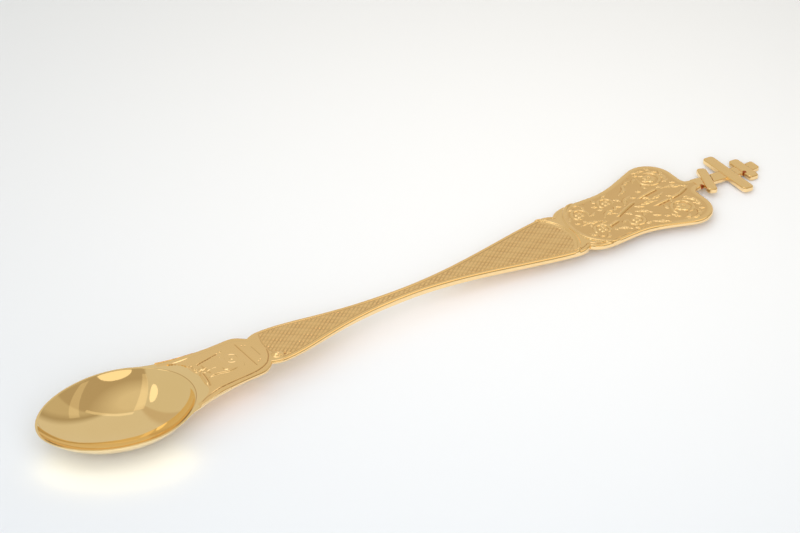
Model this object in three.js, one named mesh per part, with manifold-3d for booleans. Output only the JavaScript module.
// A gilt communion spoon: an egg-shaped bowl, an engraved shoulder plate, a chequered shank,
// a scrolled cartouche and a three-bar cross, each made by itself and soldered to the next.
// Millimetres. +X runs from the tip of the bowl to the top of the cross, +Z is up, and the
// spoon rests on the bottom of its bowl and on the flat back of its cross.

import * as THREE from 'three';
import { mergeVertices } from 'three/addons/utils/BufferGeometryUtils.js';
import Module from 'manifold-3d';

const wasm = await Module();
wasm.setup();

// Lengths along the spoon, from the tip of the bowl to the top of the cross
const BOWL_LENGTH = 40;
const LIP_WIDTH = 3.4;          // flat crescent between the hollow's back and the shoulder plate
const SHOULDER_LENGTH = 16.2;   // from the point of its bracket-shaped front edge
const SHANK_LENGTH = 91.9;
const CARTOUCHE_LENGTH = 39.2;
const CROSS_LENGTH = 20;

// Bowl
const BOWL_WIDTH = 28.4;
const BOWL_WIDEST = 21.5;       // from the tip to the widest place
const BOWL_WALL = 0.7;
const RIM_HEIGHT = 7.5;         // over the table, at the back of the bowl
const RIM_RISE = 1.5;           // how much higher the rim's tip stands
const TIP_WALL_ANGLE = THREE.MathUtils.degToRad(52.2);    // to the table, just under the rim
const BACK_WALL_ANGLE = THREE.MathUtils.degToRad(75.9);
const TIP_FULLNESS = 1.9;       // power of the outline's front curve, 2 being an ellipse

// Tab behind the bowl, which the shoulder plate is lapped over
const TAB_REACH = 3.2;          // under the plate, behind the point of its front edge
const FLARE_START = 8.4;        // where the sides leave the egg shape, ahead of its back end

// Shoulder plate
const PLATE_STEP = 0.4;         // height of its front edge over the rim
const SHOULDER_WIDTH = 15.4;
const SHOULDER_CORNER = 4.2;    // length of the rounded corner before the shank
const BRACKET_POINT = 0.8;      // depth of the small point in the middle of the front edge
const BRACKET_WIDTH = 8.2;      // width of the front edge's flat middle
const BRACKET_ARM = 5.4;        // how far its arms reach forward along the sides

// Shank
const SHOULDER_NOTCH = 11;      // width where the shoulder meets the shank
const SHANK_FRONT_WIDTH = 12.8;
const WAIST_WIDTH = 3.6;
const WAIST_PLACE = 42;         // from the shoulder
const SHANK_BACK_WIDTH = 17.2;
const JUNCTION_NOTCH = 15.3;    // width where the shank meets the cartouche
const SHANK_END_ROUND = 3.3;    // length of the rounded corners at both its ends
const SHANK_BACK_FLARE = 0.095; // slope of its sides near the back end

// Shares of the way to and from the waist over which the side curve holds its direction
const FRONT_HOLD = 0.26;
const WAIST_FRONT_HOLD = 0.56;
const WAIST_BACK_HOLD = 0.37;
const BACK_HOLD = 0.26;

// Cartouche
const CARTOUCHE_FRONT_WIDTH = 19.4;
const CARTOUCHE_WAIST_WIDTH = 19;
const CARTOUCHE_WAIST_PLACE = 13.7;   // from the shank
const EAR_SPAN = 27.8;          // width over the two round ears
const EAR_RADIUS = 6.8;
const EAR_LEAD = THREE.MathUtils.degToRad(20);   // where the side runs onto the ear's round
const EAR_END = 2;              // the ears stop this far before the neck's joint
const NECK_WIDTH = 4;
const NECK_FILLET = 1.6;

// Cross
const UPRIGHT_WIDTH = 3.5;
const TOP_CORNER = 0.9;
const BAR_PROUD = 0.2;          // the bars' height over the upright
const BAR_CORNER = 1;
const LONG_BAR = { length: 16.8, width: 3.4, belowTop: 9.1 };
const TITLE_BAR = { length: 9, width: 3.1, belowTop: 4 };
const FOOT_BAR = { length: 10.4, width: 2.7, belowTop: 16.1 };
const FOOT_BAR_SLANT = THREE.MathUtils.degToRad(22);
const LAP_CLEARANCE = 0.05;     // beside each bar in the slot that it is let into
const REST_LENGTH = 2.3;        // of the cross's end that lies flat on the table

// Raised ribs where the shank and the cartouche meet
const RIB_WIDTH = 0.9;
const RIB_HEIGHT = 0.2;
const RIB_RADIUS = 11;

// Thickness of the metal and height of its top face over the table
const SHOULDER_THICKNESS = 0.9;
const WAIST_THICKNESS = 1.6;
const JUNCTION_THICKNESS = 1.4;
const CROSS_THICKNESS = 1.1;
const WAIST_TOP = 7.25;
const JUNCTION_TOP = 4.4;
const NECK_TOP = 3;
const WAIST_SLOPE = -0.04;
const JUNCTION_SLOPE = -0.05;
const NECK_SLOPE = -0.065;
const CROSS_SLOPE = -0.1;       // just ahead of the flat end

// Facets
const BOWL_SIDES = 56;
const BOWL_RINGS = 11;
const CURVE_STEPS = 12;
const SIDE_STEP = 3;            // spacing of the facets along the curved handle
const ABOVE = 30;               // taller than anything, for prisms that are trimmed later

// Stations along the spoon
const bowlBack = BOWL_LENGTH;
const bracketPoint = bowlBack - BOWL_WALL + LIP_WIDTH;
const tabEnd = bracketPoint + TAB_REACH;
const shoulderEnd = bracketPoint + SHOULDER_LENGTH;
const shankEnd = shoulderEnd + SHANK_LENGTH;
const cartoucheEnd = shankEnd + CARTOUCHE_LENGTH;
const crossTop = cartoucheEnd + CROSS_LENGTH;
const waist = shoulderEnd + WAIST_PLACE;
const restStart = crossTop - REST_LENGTH;
const shoulderTop = RIM_HEIGHT + PLATE_STEP;
const shoulderBottom = shoulderTop - SHOULDER_THICKNESS;
const halfSpan = Math.max(BOWL_WIDTH, EAR_SPAN, SHOULDER_WIDTH, LONG_BAR.length);

// Solids

function toSolid(geometry) {
  const bare = geometry.clone();
  bare.deleteAttribute('normal');
  bare.deleteAttribute('uv');
  const merged = mergeVertices(bare, 1e-5);
  return new wasm.Manifold(new wasm.Mesh({
    numProp: 3,
    vertProperties: new Float32Array(merged.attributes.position.array),
    triVerts: new Uint32Array(merged.index.array),
  }));
}

function toGeometry(solid) {
  const { vertProperties, triVerts } = solid.getMesh();
  const geometry = new THREE.BufferGeometry();
  geometry.setAttribute('position', new THREE.BufferAttribute(new Float32Array(vertProperties), 3));
  geometry.setIndex(new THREE.BufferAttribute(new Uint32Array(triVerts), 1));
  const faceted = geometry.toNonIndexed();
  faceted.computeVertexNormals();
  return faceted;
}

// An upright prism over a plan outline, between two heights
function prism(shape, low = -ABOVE, high = ABOVE) {
  const geometry = new THREE.ExtrudeGeometry(shape, {
    depth: high - low,
    bevelEnabled: false,
    curveSegments: CURVE_STEPS,
  });
  geometry.translate(0, 0, low);
  return toSolid(geometry);
}

// A slab across the spoon between two side curves, from one station to another, which is
// straight where the cross lies flat
function slab(from, to, topAt, bottomAt) {
  const bent = Math.min(to, restStart) - from;
  const steps = Math.max(1, Math.ceil(bent / SIDE_STEP));
  const stations = Array.from({ length: steps + 1 }, (_, i) => from + (bent * i) / steps);
  if (to > restStart) stations.push(to);
  const top = stations.map((x) => new THREE.Vector2(x, topAt(x)));
  const bottom = stations.map((x) => new THREE.Vector2(x, bottomAt(x))).reverse();
  const geometry = new THREE.ExtrudeGeometry(new THREE.Shape([...bottom, ...top]), {
    depth: 2 * halfSpan,
    bevelEnabled: false,
  });
  geometry.rotateX(Math.PI / 2);
  geometry.translate(0, halfSpan, 0);
  return toSolid(geometry);
}

// A smooth curve through knots of station, value and slope
function smoothCurve(knots) {
  return (x) => {
    const last = knots.length - 1;
    const at = knots.findIndex((knot, i) => i === last - 1 || x <= knots[i + 1].x);
    const [a, b] = [knots[at], knots[at + 1]];
    const span = b.x - a.x;
    const t = THREE.MathUtils.clamp((x - a.x) / span, 0, 1);
    const rest = 1 - t;
    return a.y * rest * rest * (1 + 2 * t) + b.y * t * t * (3 - 2 * t)
      + span * t * rest * (a.slope * rest - b.slope * t);
  };
}

const topAt = smoothCurve([
  { x: 0, y: shoulderTop, slope: 0 },
  { x: shoulderEnd, y: shoulderTop, slope: 0 },
  { x: waist, y: WAIST_TOP, slope: WAIST_SLOPE },
  { x: shankEnd, y: JUNCTION_TOP, slope: JUNCTION_SLOPE },
  { x: cartoucheEnd, y: NECK_TOP, slope: NECK_SLOPE },
  { x: restStart, y: CROSS_THICKNESS, slope: CROSS_SLOPE },
  { x: crossTop, y: CROSS_THICKNESS, slope: 0 },
]);

const thicknessAt = smoothCurve([
  { x: 0, y: SHOULDER_THICKNESS, slope: 0 },
  { x: shoulderEnd, y: SHOULDER_THICKNESS, slope: 0 },
  { x: waist, y: WAIST_THICKNESS, slope: 0 },
  { x: shankEnd, y: JUNCTION_THICKNESS, slope: 0 },
  { x: cartoucheEnd, y: CROSS_THICKNESS, slope: 0 },
  { x: crossTop, y: CROSS_THICKNESS, slope: 0 },
]);

const bottomAt = (x) => topAt(x) - thicknessAt(x);
const middleAt = (x) => topAt(x) - thicknessAt(x) / 2;
const ribTopAt = (x) => topAt(x) + RIB_HEIGHT;
const barTopAt = (x) => topAt(x) + BAR_PROUD;

// A closed plan outline from one edge and its mirror image across the spoon's axis
function mirrored(edge) {
  const left = edge.getPoints(CURVE_STEPS);
  const right = left.map((point) => new THREE.Vector2(point.x, -point.y)).reverse();
  return new THREE.Shape([...right, ...left].filter((point, i, all) => {
    const next = all[(i + 1) % all.length];
    return point.distanceTo(next) > 1e-4;
  }));
}

// Bowl

function eggPoint(angle, inset) {
  const forward = Math.cos(angle) < 0;
  const power = forward ? 2 / TIP_FULLNESS : 1;
  const reach = (forward ? BOWL_WIDEST : BOWL_LENGTH - BOWL_WIDEST) - inset;
  const along = Math.sign(Math.cos(angle)) * Math.abs(Math.cos(angle)) ** power;
  const across = Math.sign(Math.sin(angle)) * Math.abs(Math.sin(angle)) ** power;
  return { along: reach * along, across: (BOWL_WIDTH / 2 - inset) * across };
}

function rimAt(station) {
  return RIM_HEIGHT + RIM_RISE * (1 - station / BOWL_LENGTH) ** 2;
}

// The share of the bowl's depth at a share of the way out to its rim
function depthShare(out, angle) {
  const toBack = (1 + Math.cos(angle)) / 2;
  const steepness = THREE.MathUtils.lerp(Math.sin(TIP_WALL_ANGLE), Math.sin(BACK_WALL_ANGLE), toBack);
  const edge = Math.sqrt(1 - steepness ** 2);
  return (Math.sqrt(1 - (steepness * out) ** 2) - edge) / (1 - edge);
}

// A closed round form: the bowl's outer or inner surface, with a lid at a height over the rim
function bowlForm(inset, floor, lidOver) {
  const positions = [BOWL_WIDEST, 0, floor];
  for (let ring = 1; ring <= BOWL_RINGS; ring += 1) {
    const out = Math.sin((Math.PI / 2) * (ring / BOWL_RINGS));
    for (let side = 0; side < BOWL_SIDES; side += 1) {
      const angle = (2 * Math.PI * side) / BOWL_SIDES;
      const { along, across } = eggPoint(angle, inset);
      const rim = rimAt(BOWL_WIDEST + along);
      const height = rim - (rim - floor) * depthShare(out, angle);
      positions.push(BOWL_WIDEST + along * out, across * out, height);
    }
  }
  let rings = BOWL_RINGS;
  if (lidOver > 0) {
    for (let side = 0; side < BOWL_SIDES; side += 1) {
      const angle = (2 * Math.PI * side) / BOWL_SIDES;
      const { along, across } = eggPoint(angle, inset);
      positions.push(BOWL_WIDEST + along, across, rimAt(BOWL_WIDEST + along) + lidOver);
    }
    rings += 1;
  }
  positions.push(BOWL_WIDEST, 0, rimAt(BOWL_WIDEST) + lidOver);
  const lid = positions.length / 3 - 1;
  const index = [];
  const vertex = (ring, side) => 1 + (ring - 1) * BOWL_SIDES + (side % BOWL_SIDES);
  for (let side = 0; side < BOWL_SIDES; side += 1) {
    index.push(0, vertex(1, side + 1), vertex(1, side));
    for (let ring = 1; ring < rings; ring += 1) {
      index.push(vertex(ring, side), vertex(ring, side + 1), vertex(ring + 1, side + 1));
      index.push(vertex(ring, side), vertex(ring + 1, side + 1), vertex(ring + 1, side));
    }
    index.push(lid, vertex(rings, side), vertex(rings, side + 1));
  }
  const geometry = new THREE.BufferGeometry();
  geometry.setAttribute('position', new THREE.BufferAttribute(new Float32Array(positions), 3));
  geometry.setIndex(index);
  return toSolid(geometry);
}

// Half the width of the egg shape at a station ahead of its back end
function eggHalfWidth(station) {
  const share = (station - BOWL_WIDEST) / (BOWL_LENGTH - BOWL_WIDEST);
  return (BOWL_WIDTH / 2) * Math.sqrt(1 - share * share);
}

// The left edge of the bowl's flare and the shoulder, from the egg shape back to the shank
function flareEdge() {
  const start = bowlBack - FLARE_START;
  const settle = shoulderEnd - SHOULDER_CORNER;
  const halfWidth = SHOULDER_WIDTH / 2;
  const share = (start - BOWL_WIDEST) / (BOWL_LENGTH - BOWL_WIDEST);
  const slope = (BOWL_WIDTH / 2) * share
    / ((BOWL_LENGTH - BOWL_WIDEST) * Math.sqrt(1 - share * share));
  const pull = (settle - start) / 3;
  const edge = new THREE.Path();
  edge.moveTo(start, eggHalfWidth(start));
  edge.bezierCurveTo(
    start + pull, eggHalfWidth(start) - slope * pull,
    settle - pull, halfWidth,
    settle, halfWidth,
  );
  edge.bezierCurveTo(
    shoulderEnd - SHOULDER_CORNER / 2, halfWidth,
    shoulderEnd - SHOULDER_CORNER / 4, (SHOULDER_NOTCH + SHOULDER_CORNER / 2) / 2,
    shoulderEnd, SHOULDER_NOTCH / 2,
  );
  return edge;
}

// Everything ahead of the tab's back end, over or under the given heights
function aheadOfTabEnd(low, high) {
  return prism(new THREE.Shape([
    new THREE.Vector2(-1, -halfSpan),
    new THREE.Vector2(tabEnd, -halfSpan),
    new THREE.Vector2(tabEnd, halfSpan),
    new THREE.Vector2(-1, halfSpan),
  ]), low, high);
}

function bowlWithTab() {
  const outside = bowlForm(0, 0, 0);
  const hollow = bowlForm(BOWL_WALL, BOWL_WALL, BOWL_WALL);
  const tab = prism(mirrored(flareEdge())).intersect(aheadOfTabEnd(shoulderBottom, RIM_HEIGHT));
  return outside.add(tab).subtract(hollow);
}

// Shoulder plate

function shoulderPlate() {
  const whole = prism(mirrored(flareEdge()), shoulderBottom, shoulderTop);

  // What the bracket-shaped front edge leaves free ahead of it
  const lobe = bracketPoint - BRACKET_POINT;
  const armEnd = lobe - BRACKET_ARM;
  const front = new THREE.Path();
  front.moveTo(-1, halfSpan);
  front.lineTo(armEnd, halfSpan);
  front.lineTo(armEnd, SHOULDER_WIDTH / 2 + BRACKET_POINT);
  front.quadraticCurveTo(lobe, SHOULDER_WIDTH / 2 - BRACKET_POINT, lobe, BRACKET_WIDTH / 2);
  front.quadraticCurveTo(lobe + BRACKET_POINT / 4, BRACKET_WIDTH / 6, bracketPoint, 0);
  const ahead = prism(mirrored(front));
  return whole.subtract(ahead).subtract(aheadOfTabEnd(-ABOVE, RIM_HEIGHT));
}

// Ribs

// A raised arc across the spoon whose outer side touches a station and which curves away from it
function rib(station, away) {
  const centre = station + away * RIB_RADIUS;
  const band = new THREE.Shape();
  band.absarc(centre, 0, RIB_RADIUS, 0, 2 * Math.PI, false);
  const inner = new THREE.Path();
  inner.absarc(centre, 0, RIB_RADIUS - RIB_WIDTH, 0, 2 * Math.PI, true);
  band.holes.push(inner);
  const side = new THREE.Shape([
    new THREE.Vector2(station - RIB_RADIUS, -halfSpan),
    new THREE.Vector2(station + RIB_RADIUS, -halfSpan),
    new THREE.Vector2(station + RIB_RADIUS, halfSpan),
    new THREE.Vector2(station - RIB_RADIUS, halfSpan),
  ]);
  return prism(band).intersect(prism(side));
}

// Shank

function shank() {
  const half = SHANK_END_ROUND / 2;
  const front = shoulderEnd + SHANK_END_ROUND;
  const back = shankEnd - SHANK_END_ROUND;
  const toWaist = waist - front;
  const fromWaist = back - waist;
  const backHold = fromWaist * BACK_HOLD;
  const edge = new THREE.Path();
  edge.moveTo(shoulderEnd, SHOULDER_NOTCH / 2);
  edge.quadraticCurveTo(front - half, SHANK_FRONT_WIDTH / 2, front, SHANK_FRONT_WIDTH / 2);
  edge.bezierCurveTo(
    front + toWaist * FRONT_HOLD, SHANK_FRONT_WIDTH / 2,
    waist - toWaist * WAIST_FRONT_HOLD, WAIST_WIDTH / 2,
    waist, WAIST_WIDTH / 2,
  );
  edge.bezierCurveTo(
    waist + fromWaist * WAIST_BACK_HOLD, WAIST_WIDTH / 2,
    back - backHold, SHANK_BACK_WIDTH / 2 - backHold * SHANK_BACK_FLARE,
    back, SHANK_BACK_WIDTH / 2,
  );
  edge.quadraticCurveTo(back + half, SHANK_BACK_WIDTH / 2, shankEnd, JUNCTION_NOTCH / 2);
  const plan = prism(mirrored(edge));
  const plate = plan.intersect(slab(shoulderEnd, shankEnd, topAt, bottomAt));
  const endRib = rib(shankEnd, -1).intersect(plan);
  return plate.add(endRib.intersect(slab(back - RIB_RADIUS, shankEnd, ribTopAt, middleAt)));
}

// Cartouche

function cartouche() {
  const half = SHANK_END_ROUND / 2;
  const front = shankEnd + 2 * SHANK_END_ROUND;
  const waistAt = shankEnd + CARTOUCHE_WAIST_PLACE;
  const earX = cartoucheEnd - EAR_END - EAR_RADIUS;
  const earY = EAR_SPAN / 2 - EAR_RADIUS;
  const touch = Math.PI / 2 + EAR_LEAD;
  const touchX = earX + EAR_RADIUS * Math.cos(touch);
  const touchY = earY + EAR_RADIUS * Math.sin(touch);
  const pull = (touchX - waistAt) / 3;
  const neck = NECK_WIDTH / 2;
  const edge = new THREE.Path();
  edge.moveTo(shankEnd, JUNCTION_NOTCH / 2);
  edge.quadraticCurveTo(shankEnd + half, CARTOUCHE_FRONT_WIDTH / 2, front, CARTOUCHE_FRONT_WIDTH / 2);
  edge.bezierCurveTo(
    front + half, CARTOUCHE_FRONT_WIDTH / 2,
    waistAt - 2 * half, CARTOUCHE_WAIST_WIDTH / 2,
    waistAt, CARTOUCHE_WAIST_WIDTH / 2,
  );
  edge.bezierCurveTo(
    waistAt + pull, CARTOUCHE_WAIST_WIDTH / 2,
    touchX - pull * Math.cos(EAR_LEAD), touchY - pull * Math.sin(EAR_LEAD),
    touchX, touchY,
  );
  edge.absarc(earX, earY, EAR_RADIUS, touch, 0, true);
  edge.lineTo(cartoucheEnd - EAR_END, neck + NECK_FILLET);
  edge.quadraticCurveTo(cartoucheEnd - EAR_END, neck, cartoucheEnd, neck);
  const plan = prism(mirrored(edge));
  const plate = plan.intersect(slab(shankEnd, cartoucheEnd, topAt, bottomAt));
  const startRib = rib(shankEnd, 1).intersect(plan);
  return plate.add(startRib.intersect(slab(shankEnd, shankEnd + RIB_RADIUS, ribTopAt, middleAt)));
}

// Cross

function roundedRectangle(length, width, corner) {
  const shape = new THREE.Shape();
  const x = width / 2;
  const y = length / 2;
  shape.moveTo(-x + corner, -y);
  shape.lineTo(x - corner, -y);
  shape.absarc(x - corner, -y + corner, corner, -Math.PI / 2, 0, false);
  shape.lineTo(x, y - corner);
  shape.absarc(x - corner, y - corner, corner, 0, Math.PI / 2, false);
  shape.lineTo(-x + corner, y);
  shape.absarc(-x + corner, y - corner, corner, Math.PI / 2, Math.PI, false);
  shape.lineTo(-x, -y + corner);
  shape.absarc(-x + corner, -y + corner, corner, Math.PI, 1.5 * Math.PI, false);
  return shape;
}

// The prism over a bar of the cross, which a clearance can make wider for its slot
function barPrism(bar, slant, clearance) {
  const shape = roundedRectangle(bar.length, bar.width + 2 * clearance, BAR_CORNER);
  return prism(shape)
    .rotate([0, 0, -THREE.MathUtils.radToDeg(slant)])
    .translate([crossTop - bar.belowTop, 0, 0]);
}

function uprightPrism(clearance) {
  const half = UPRIGHT_WIDTH / 2;
  const shoulder = (NECK_WIDTH - UPRIGHT_WIDTH) / 2;
  const edge = new THREE.Path();
  edge.moveTo(cartoucheEnd, half + shoulder + clearance);
  edge.lineTo(cartoucheEnd + FOOT_BAR.width, half + clearance);
  edge.lineTo(crossTop - TOP_CORNER, half + clearance);
  edge.quadraticCurveTo(crossTop, half + clearance, crossTop, half - TOP_CORNER);
  return prism(mirrored(edge));
}

const crossBars = [
  { name: 'cross_long_bar', bar: LONG_BAR, slant: 0 },
  { name: 'cross_title_bar', bar: TITLE_BAR, slant: 0 },
  { name: 'cross_foot_bar', bar: FOOT_BAR, slant: FOOT_BAR_SLANT },
];

// A slab under or over the whole cross, with the same facets each time it is made
function crossSlab(top, bottom) {
  return slab(cartoucheEnd - FOOT_BAR.length, crossTop + FOOT_BAR.length, top, bottom);
}

function crossUpright() {
  const plate = uprightPrism(0).intersect(crossSlab(topAt, bottomAt));
  const upperHalf = crossSlab(() => ABOVE, middleAt);
  return crossBars.reduce(
    (left, { bar, slant }) => left.subtract(barPrism(bar, slant, LAP_CLEARANCE).intersect(upperHalf)),
    plate,
  );
}

function crossBar(bar, slant) {
  const whole = barPrism(bar, slant, 0).intersect(crossSlab(barTopAt, bottomAt));
  const lowerHalf = crossSlab(middleAt, () => -ABOVE);
  return whole.subtract(uprightPrism(LAP_CLEARANCE).intersect(lowerHalf));
}

// The spoon

const polished = new THREE.MeshStandardMaterial({ color: 0xdcb469, metalness: 1, roughness: 0.12 });
const satin = new THREE.MeshStandardMaterial({ color: 0xd8b067, metalness: 1, roughness: 0.3 });

const spoon = new THREE.Group();
spoon.position.x = -crossTop / 2;

function addPiece(name, solid, material) {
  const mesh = new THREE.Mesh(toGeometry(solid), material);
  mesh.name = name;
  spoon.add(mesh);
}

addPiece('bowl', bowlWithTab(), polished);
addPiece('shoulder_plate', shoulderPlate(), satin);
addPiece('shank', shank(), satin);
addPiece('cartouche', cartouche(), satin);
addPiece('cross_upright', crossUpright(), satin);
for (const { name, bar, slant } of crossBars) {
  addPiece(name, crossBar(bar, slant), satin);
}

export default spoon;
